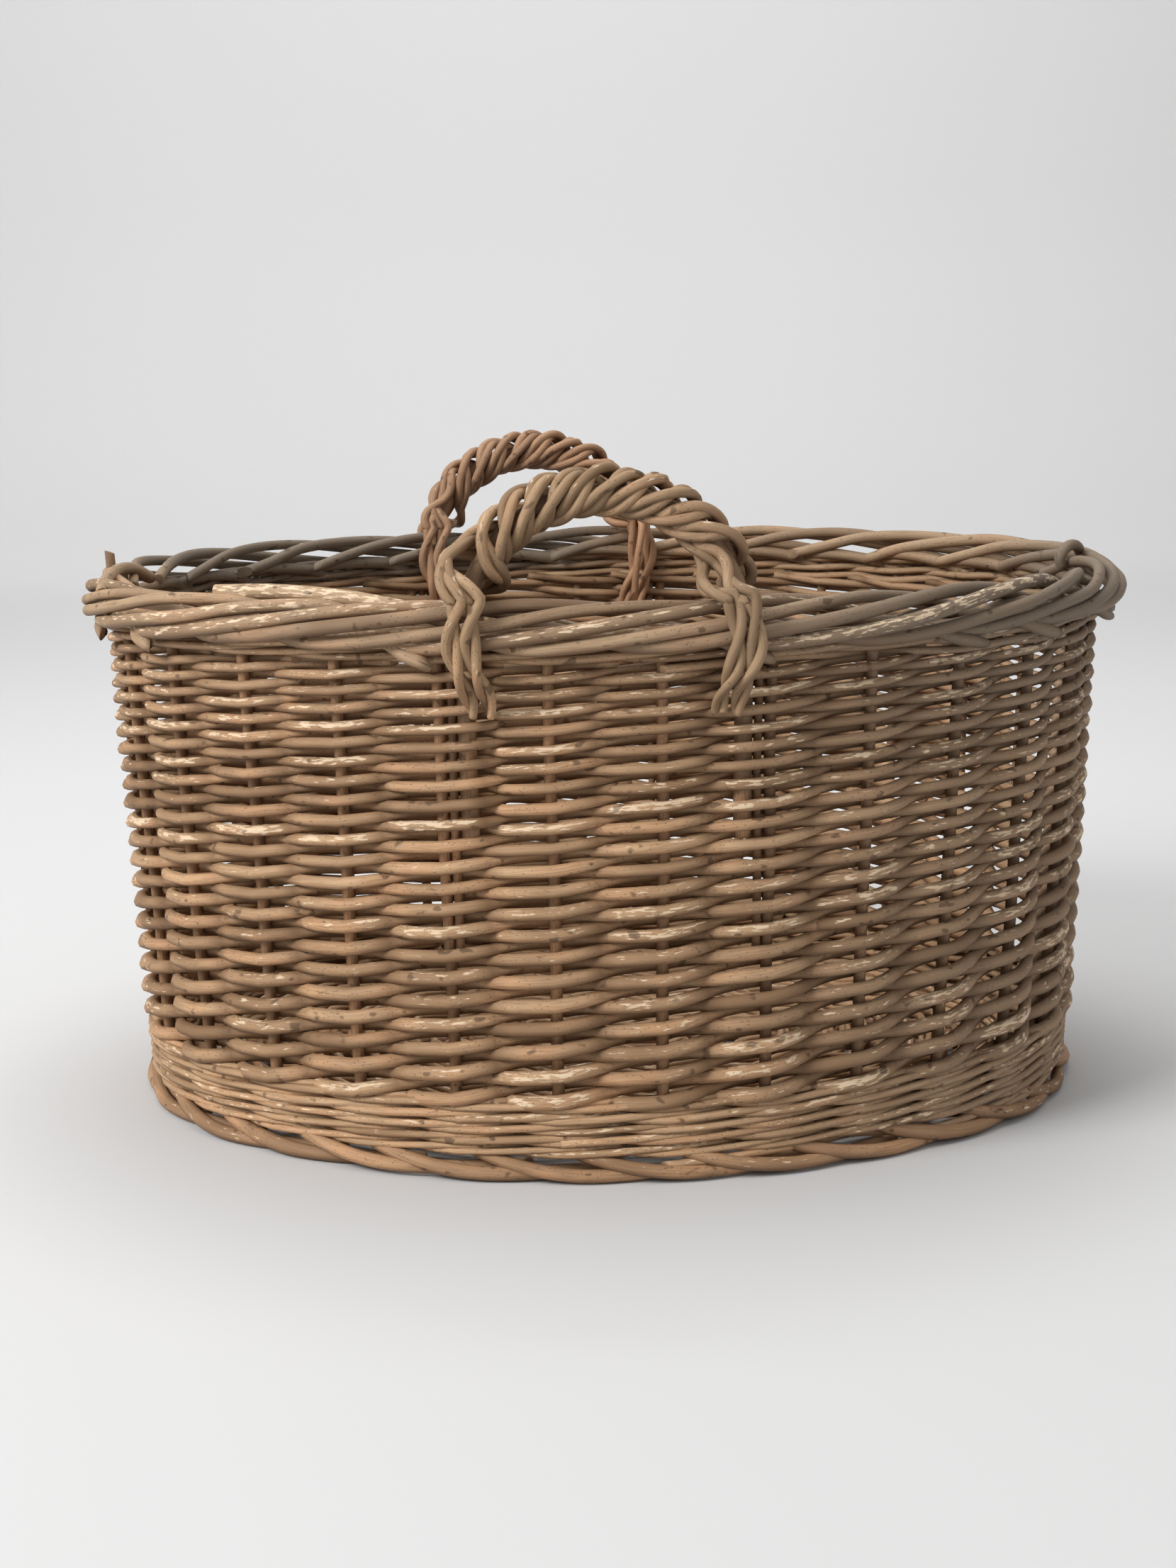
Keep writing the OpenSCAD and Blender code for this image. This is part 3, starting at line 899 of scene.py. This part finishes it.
@dataclass
class Bottom:
    """The woven bottom: short sticks across, long sticks through them and rounds of thin rods.

    Attributes:
        wall: The wall round it.
        cross_d: Diameter of a short stick.
        cross_count: Number of short sticks.
        cross_pitch: Distance between two short sticks.
        long_d: Diameter of a long stick.
        long_pitch: Distance between two long sticks.
        rod_d: Diameter of a weaving rod.
        round_pitch: Distance between two rounds.
    """

    wall: Wall
    cross_d: float = 0.0095
    cross_count: int = 7
    cross_pitch: float = 0.062
    long_d: float = 0.0065
    long_pitch: float = 0.024
    rod_d: float = 0.005
    round_pitch: float = 0.0056

    def __post_init__(self) -> None:
        """Places the sticks inside the frame's bottom."""
        low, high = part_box("bottom_weave")
        self.level = (low.z + high.z) / 2
        self.half = (high.x, high.y)
        middle = (self.cross_count - 1) / 2
        self.crosses = [(i - middle) * self.cross_pitch for i in range(self.cross_count)]
        self.longs = [-self.long_pitch, 0.0, self.long_pitch]
        self.long_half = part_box("bottom_long_sticks")[1].x

    def stick(self, start: Vector, end: Vector, diameter: float, draws: random.Random) -> Rod:
        """Lays one straight stick."""
        knots = [start.lerp(end, i / 4) + Vector((0, 0, draws.gauss(0, 0.0003))) for i in range(5)]
        line = smooth_line(knots, 3)
        up = [UP] * len(line)
        radii = tapered(diameter / 2, 1.02, 0.95, len(line))
        return Rod(line, up, radii, tone=draws.uniform(0.1, 0.8), rub=draws.uniform(0, 0.4))

    def outline(self, along: float, inset: float, shrink: float) -> Vector:
        """Returns a point of a round at the bottom's level."""
        point = self.wall.place(along, 0.0, -inset)[0] * shrink
        return Vector((point.x, point.y, self.level))

    def round_rod(self, inset: float, shrink: float, flip: int, draws: random.Random) -> Rod:
        """Weaves one round over and under the sticks that it meets.

        Args:
            inset: How far the round lies inside the wall's middle.
            shrink: How much smaller it is than that, for the innermost rounds.
            flip: 1 to start over the first stick, -1 to start under it.
            draws: Where the rod's unevenness comes from.

        Returns:
            The round, with its ends overlapping.
        """
        samples = 480
        step = self.wall.round_len / samples
        flat = [self.outline(i * step, inset, shrink) for i in range(samples + 1)]
        meets = []
        for i, (a, b) in enumerate(zip(flat, flat[1:])):
            over_cross = any((a.x - x) * (b.x - x) <= 0 and a.x != b.x for x in self.crosses)
            over_long = any((a.y - y) * (b.y - y) <= 0 and a.y != b.y for y in self.longs)
            if over_cross or (over_long and abs(a.x) < self.long_half):
                if not meets or i - meets[-1] > 3:
                    meets.append(i)
        swing = (self.cross_d + self.rod_d) / 2 * 0.72
        knots = []
        for number, (here, after) in enumerate(zip(meets, meets[1:] + [meets[0] + samples])):
            side = flip if number % 2 == 0 else -flip
            knots.append(Vector((here, side * swing + draws.gauss(0, 0.0002), 0)))
            knots.append(Vector(((here + after) / 2, 0, 0)))
        knots.append(Vector((meets[0] + samples, flip * swing * 0.6, 0)))
        line = smooth_line(knots, 3)
        points = [self.outline(p.x * step, inset, shrink) + Vector((0, 0, p.y)) for p in line]
        up = [UP] * len(points)
        radius = self.rod_d / 2 * draws.uniform(0.88, 1.1)
        return Rod(points, up, [radius] * len(points), tone=draws.uniform(0.1, 0.9),
                   rub=draws.uniform(0, 0.5))

    def build(self) -> None:
        """Builds the bottom's three pieces."""
        cross = Bundle("bottom_cross_stick_rods", inside_weathered, 60)
        for x in self.crosses:
            half = self.half[1] * math.sqrt(max(0.0, 1 - (x / self.half[0]) ** 2)) - 0.012
            cross.add(self.stick(Vector((x, -half, self.level)), Vector((x, half, self.level)), self.cross_d,
                                 cross.draws))
        cross.piece(Finish.STICK, ["bottom_cross_sticks"])
        long = Bundle("bottom_long_stick_rods", inside_weathered, 61)
        for y in self.longs:
            long.add(self.stick(Vector((-self.long_half, y, self.level)),
                                Vector((self.long_half, y, self.level)), self.long_d, long.draws))
        long.piece(Finish.STICK, ["bottom_long_sticks"])
        weave = Bundle("bottom_weave_rods", inside_weathered, 62, sides=6)
        inset, flip = self.wall.thickness / 2 + 0.004, 1
        innermost = self.wall.end_r - 0.012
        while inset < innermost:
            weave.add(self.round_rod(inset, 1.0, flip, weave.draws))
            inset += self.round_pitch
            flip = -flip
        inset -= self.round_pitch
        half_width = abs(self.outline(0.0, inset, 1.0).y)
        rounds = round(half_width / self.round_pitch)
        for number in range(1, rounds):
            weave.add(self.round_rod(inset, 1 - number / rounds, flip, weave.draws))
            flip = -flip
        weave.piece(Finish.WEAVE, ["bottom_weave"])


@dataclass
class Handle:
    """A bow of thick willow roped with two double strands, each strand of two rods twisted together.

    Attributes:
        wall: The wall that the bow is driven into.
        name: Where the handle is, front or back.
        first: Number of the stake at the handle's left foot, seen from outside.
        bow: Finish of the bow.
        rope: Finish of the strands.
        spaces: Stake spaces that it spans.
        leg_inset: Distance from a stake to the bow's leg beside it.
        extra_inset: Distance from a stake to the extra stake beside it.
        extra_d: Diameter of the extra stake.
        bow_d: Diameter of the bow.
        strand_d: Diameter of a strand.
        rod_d: Diameter of a strand's rods.
        lay: Length in which a strand's rods twist once round each other.
        turns: Turns that a strand makes round the bow.
        tail: How far below the rim the strands' tails end.
        leg: How far below the rim the bow's legs end.
    """

    wall: Wall
    name: str
    first: int
    bow: Finish
    rope: Finish
    spaces: int = 3
    leg_inset: float = 0.0147
    extra_inset: float = 0.0066
    extra_d: float = 0.005
    bow_d: float = 0.010
    strand_d: float = 0.008
    rod_d: float = 0.0056
    lay: float = 0.060
    turns: int = 3
    tail: float = 0.058
    leg: float = 0.130

    def __post_init__(self) -> None:
        """Works out the bow's arch and the plane that it lies in, which leans with the wall."""
        wall = self.wall
        start, end = wall.along(self.first), wall.along(self.first + self.spaces)
        fan = (end - start - 2 * self.leg_inset) / 2 / wall.side_r
        back = self.name == "back"
        turn = (start + end) / 2 / wall.side_r - (wall.round_len / 2 / wall.side_r if back else 0.0)
        lean = math.atan(wall.flare / wall.lean_height)
        self.slope = math.atan(math.tan(lean) * math.cos(fan))
        self.splay = math.atan(math.tan(lean) * math.sin(fan) * math.cos(self.slope))
        self.plane = (Matrix.Rotation(math.pi if back else 0.0, 4, "Z")
                      @ Matrix.Translation((0, wall.side_y, 0)) @ Matrix.Rotation(turn, 4, "Z")
                      @ Matrix.Translation((0, -wall.side_r * math.cos(fan), 0))
                      @ Matrix.Rotation(self.slope, 4, "X"))
        foot = wall.side_r * math.sin(fan)
        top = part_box(f"{self.name}_handle_bow")[1].z - self.bow_d / 2
        self.spring = (top / math.cos(self.slope) - foot * math.cos(self.splay)) / (1 + math.sin(self.splay))
        self.radius = (foot + self.spring * math.tan(self.splay)) * math.cos(self.splay)
        self.length = self.radius * (math.pi + 2 * self.splay)
        self.reach = (self.bow_d + self.strand_d) / 2 * 0.96

    def arch(self, q: float) -> tuple[float, float, float]:
        """Finds a point of the bow's middle line.

        Args:
            q: Distance along the arch from its left end; less than 0 or more than its length on the legs.

        Returns:
            The place along the rim, the place up the slope, and the angle of the arch's outward normal.
        """
        angle = math.pi + self.splay - min(self.length, max(0.0, q)) / self.radius
        rest = q if q < 0 else self.length - q if q > self.length else 0.0
        side = -1 if q < self.length / 2 else 1
        return (self.radius * math.cos(angle) + side * rest * math.sin(self.splay),
                self.spring + self.radius * math.sin(angle) + rest * math.cos(self.splay), angle)

    def lift(self, u: float, out: float, w: float) -> Vector:
        """Carries a point from the handle's plane into the basket."""
        return self.plane @ Vector((u, -out, w))

    def facing(self) -> Vector:
        """Returns the direction in which the handle's plane faces outwards."""
        return self.plane.to_3x3() @ Vector((0, -1, 0))

    def build_bow(self) -> bpy.types.Object:
        """Builds the bow as one piece."""
        bundle = Bundle(f"{self.name}_handle_bow_rod", weathered, 70, sides=12)
        leg = self.spring - (self.wall.rim_top - self.leg) / math.cos(self.slope)
        steps = 60
        line = []
        for step in range(steps + 1):
            u, w, _ = self.arch(blend(-leg, self.length + leg, step / steps))
            line.append(self.lift(u, 0.0, w))
        radii = [self.bow_d / 2] * len(line)
        bundle.add(Rod(line, [self.facing()] * len(line), radii, tone=0.5, rub=0.2))
        return bundle.piece(self.bow, [f"{self.name}_handle_bow"])

    def strand_line(self, outer: bool, second: bool, draws: random.Random) -> list[tuple[Vector, Vector]]:
        """Lays a strand's middle line round the bow.

        Args:
            outer: Whether the strand's tails pass outside the border, or inside it.
            second: Whether it is the second of the pair, which runs a quarter turn ahead on the bow.
            draws: Where the strand's unevenness comes from.

        Returns:
            Each point of the line with the direction that faces away from the bow there.
        """
        border = self.wall.overhang + self.strand_d / 2
        outside = self.wall.thickness / 2 + border
        inside = self.wall.thickness / 2 + 0.004 + self.strand_d / 2
        passing = outside if outer else inside
        at_wall = (self.wall.thickness + self.strand_d) / 2
        low = self.spring - (self.wall.rim_top - self.tail)
        over_rim = self.wall.rim_top + 0.006 - self.spring * math.cos(self.slope)
        clear = self.radius * math.asin(min(0.95, over_rim / self.radius))
        steps = 240
        heaps = [draws.uniform(0.0, 0.003) for _ in range(self.turns + 2)]
        line = []
        for step in range(steps + 1):
            q = blend(-low, self.length + low, step / steps)
            edge = min(q, self.length - q)
            share = (q - clear) / (self.length - 2 * clear)
            swept = eased(share) * 0.35 + min(1.0, max(0.0, share)) * 0.65
            spread = eased((edge - clear) / 0.03)
            turned = (0.0 if outer else math.pi) + FULL_TURN * self.turns * swept
            if second:
                turned += math.pi / 2 * spread
            if edge > clear:
                out = blend(self.reach, passing, eased(1 - (edge - clear) / 0.022))
            elif edge < -0.012:
                out = blend(at_wall, passing, eased((edge + low) / (low - 0.012)))
            else:
                out = passing
            heap = heaps[int(min(self.turns, max(0, swept * self.turns)))]
            out += (heap + 0.0012) * max(0.0, math.sin(turned)) * eased((edge - clear) / 0.01)
            u, w, angle = self.arch(q)
            radial = Vector((math.cos(angle), 0, math.sin(angle)))
            away = radial * math.sin(turned) + Vector((0, -1, 0)) * math.cos(turned)
            inwards = (1 if q < self.length / 2 else -1) * 0.009 * eased(-edge / low)
            aside = (0.0048 if second else -0.0048) * (1 - spread)
            place = Vector((u + inwards + aside, 0, w)) + away * out
            line.append((self.plane @ place, self.plane.to_3x3() @ away))
        return line

    def build_strand(self, outer: bool) -> bpy.types.Object:
        """Builds the two strands that one of the frame's strands stands for."""
        node = f"{self.name}_handle_{'outer' if outer else 'inner'}_strand"
        bundle = Bundle(f"{node}_rods", weathered, 80 + len(node), sides=10)
        draws = bundle.draws
        for second in (False, True):
            line = self.strand_line(outer, second, draws)
            last = len(line) - 1
            for member in range(2):
                points, outwards, radii, twist = [], [], [], member * math.pi
                thick = self.rod_d / 2 * draws.uniform(0.92, 1.1)
                for i, (point, away) in enumerate(line):
                    ahead = (line[min(last, i + 1)][0] - line[max(0, i - 1)][0]).normalized()
                    across = ahead.cross(away).normalized()
                    if i:
                        twist += FULL_TURN * (point - line[i - 1][0]).length / self.lay
                    tail = eased(1 - min(i, last - i) / 30)
                    flat = blend(0.5, 1.0, tail)
                    spoke = away * (flat * math.cos(twist)) + across * math.sin(twist)
                    points.append(point + spoke * (self.rod_d * blend(0.52, 0.4, tail)))
                    outwards.append((away * 1.4 + across * math.sin(twist)).normalized())
                    radii.append(thick * (1 - 0.25 * tail))
                bundle.add(Rod(points, outwards, radii, tone=draws.uniform(0.3, 0.9),
                               rub=draws.uniform(0.2, 0.7),
                               slants=(draws.uniform(-1, 1), draws.uniform(-1, 1))))
        return bundle.piece(self.rope, [node])

    def build_loose_end(self, node: str) -> bpy.types.Object:
        """Builds the end of a strand that has come loose inside the rim."""
        low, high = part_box(node)
        bundle = Bundle(f"{node}_rod", inside_weathered, 90)
        middle = (low + high) / 2
        knots = [Vector((middle.x, middle.y, low.z)), Vector((middle.x + 0.002, middle.y - 0.001, middle.z)),
                 Vector((middle.x + 0.006, middle.y + 0.003, high.z)),
                 Vector((middle.x + 0.004, middle.y + 0.012, high.z + 0.012))]
        line = smooth_line(knots, 5)
        radii = [self.rod_d / 2 * 0.9] * len(line)
        bundle.add(Rod(line, [Vector((0, -1, 0))] * len(line), radii, tone=0.6, rub=0.3, slants=(1.5, 0.0)))
        return bundle.piece(self.rope, [node])

    def places(self, inset: float) -> tuple[float, float]:
        """Returns the places, as stake numbers, at a distance from the handle's two stakes."""
        step = inset / self.wall.pitch
        return self.first + step, self.first + self.spaces - step

    def uprights(self) -> list[Upright]:
        """Returns the legs and the extra stakes, which the siding has to pass."""
        foot = self.wall.rim_top - self.leg
        legs = [Upright(place, foot, self.bow_d) for place in self.places(self.leg_inset)]
        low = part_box(f"{self.name}_bye_stakes")[0].z
        return legs + [Upright(place, low, self.extra_d) for place in self.places(self.extra_inset)]

    def build(self) -> None:
        """Builds the bow and both strands."""
        self.build_bow()
        self.build_strand(outer=True)
        self.build_strand(outer=False)


# ---------------------------------------------------------------- studio


@dataclass
class Studio:
    """The floor, backdrop, lights and camera.

    Attributes:
        lens: Focal length for a picture 36 mm high, in millimetres.
        eye: Where the camera stands.
        pitch: How far the camera looks down, in degrees.
        roll: How far the camera leans, in degrees.
    """

    lens: float = 55.8
    eye: Colour = (-0.0101, -1.524, 0.4625)
    pitch: float = 10.403
    roll: float = -0.925

    def camera(self) -> None:
        """Places the camera."""
        data = bpy.data.cameras.new("camera")
        data.sensor_fit = "VERTICAL"
        data.sensor_height = 36
        data.lens = self.lens
        data.clip_start = 0.05
        camera = bpy.data.objects.new("camera", data)
        turn = Matrix.Rotation(math.radians(90 - self.pitch), 4, "X") @ Matrix.Rotation(
            math.radians(self.roll), 4, "Z")
        camera.matrix_world = Matrix.Translation(self.eye) @ turn
        bpy.context.scene.collection.objects.link(camera)
        bpy.context.scene.camera = camera

    def backdrop(self) -> None:
        """Lays a pale cloth floor that curves up into a wall."""
        shader = Shader("studio_cloth")
        shader.surface.inputs["Base Color"].default_value = (*screen_colour(213, 213, 213), 1)
        shader.surface.inputs["Roughness"].default_value = 0.9
        profile = [Vector((0, -5.0, 0)), Vector((0, 0.0, 0)), Vector((0, 2.4, 0)), Vector((0, 3.0, 0.1)),
                   Vector((0, 3.35, 0.45)), Vector((0, 3.5, 1.2)), Vector((0, 3.5, 4.5))]
        line = smooth_line(profile, 6)
        sheet = bmesh.new()
        grid = bmesh.ops.create_grid(sheet, x_segments=24, y_segments=len(line) - 1, size=0.5)
        for vert in grid["verts"]:
            row = round((vert.co.y + 0.5) * (len(line) - 1))
            vert.co = Vector((vert.co.x * 14, line[row].y, max(0.0, line[row].z)))
        for face in sheet.faces:
            face.smooth = True
        data = bpy.data.meshes.new("backdrop")
        sheet.to_mesh(data)
        sheet.free()
        data.materials.append(shader.material)
        backdrop = bpy.data.objects.new("backdrop", data)
        bpy.context.scene.collection.objects.link(backdrop)

    def light(self, name: str, place: Colour, target: Colour, size: float, power: float) -> None:
        """Adds a large soft lamp that faces a target."""
        data = bpy.data.lights.new(name, "AREA")
        data.shape = "DISK"
        data.size = size
        data.energy = power
        lamp = bpy.data.objects.new(name, data)
        aim = (Vector(target) - Vector(place)).to_track_quat("-Z", "Y")
        lamp.matrix_world = Matrix.Translation(place) @ aim.to_matrix().to_4x4()
        bpy.context.scene.collection.objects.link(lamp)

    def build(self) -> None:
        """Sets up the studio."""
        world = bpy.data.worlds.new("studio")
        world.use_nodes = True
        world.node_tree.nodes["Background"].inputs["Color"].default_value = (1.0, 1.0, 1.0, 1)
        world.node_tree.nodes["Background"].inputs["Strength"].default_value = 0.4
        bpy.context.scene.world = world
        bpy.context.scene.view_settings.view_transform = "Standard"
        self.backdrop()
        self.light("key", (-2.5, -1.8, 2.2), (0, 0, 0.15), 1.7, 108)
        self.light("fill", (1.8, -1.6, 1.0), (0, 0, 0.2), 1.8, 4)
        self.light("top", (0.0, 0.1, 2.4), (0, 0, 0), 1.6, 18)
        self.light("wash", (0.0, 1.2, 2.8), (0.1, 3.5, 0.8), 1.8, 38)


def main() -> None:
    """Builds the basket piece by piece inside its frame."""
    logging.basicConfig(level=logging.INFO, format="%(name)s: %(message)s")
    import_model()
    for finish in Finish:
        MATERIALS[finish] = finish.value.material()
    rim_low, rim_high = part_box("border_outer_rods")
    wall = Wall((rim_high.x, rim_high.y), rim_low.z, rim_high.z)
    lower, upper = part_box("siding_lower")[0].z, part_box("siding_upper")[1].z
    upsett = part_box("upsett_wale")[0].z

    handles = [Handle(wall, "front", -2, Finish.BOW, Finish.ROPE),
               Handle(wall, "back", 13, Finish.FRESH_BOW, Finish.FRESH_ROPE)]
    stakes = Stakes(wall)

    Studio().camera()
    Bottom(wall).build()
    FootBorder(wall).build()
    stakes.build()
    Waling(wall, "upsett_wale", upsett - 0.0085, 0.0066, 5.4, 0.0047).build()
    Siding(wall, lower, upper, handles[0].uprights() + handles[1].uprights()).build()
    Waling(wall, "top_wale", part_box("top_wale")[0].z - 0.0028, 0.0062, 3.0, 0.0046).build()
    TopBorder(wall).build()
    for handle in handles:
        stakes.build_extra(f"{handle.name}_bye_stakes", handle.places(handle.extra_inset))
        handle.build()
    handles[1].build_loose_end("back_handle_loose_end")
    Studio().build()


if __name__ == "__main__":
    main()
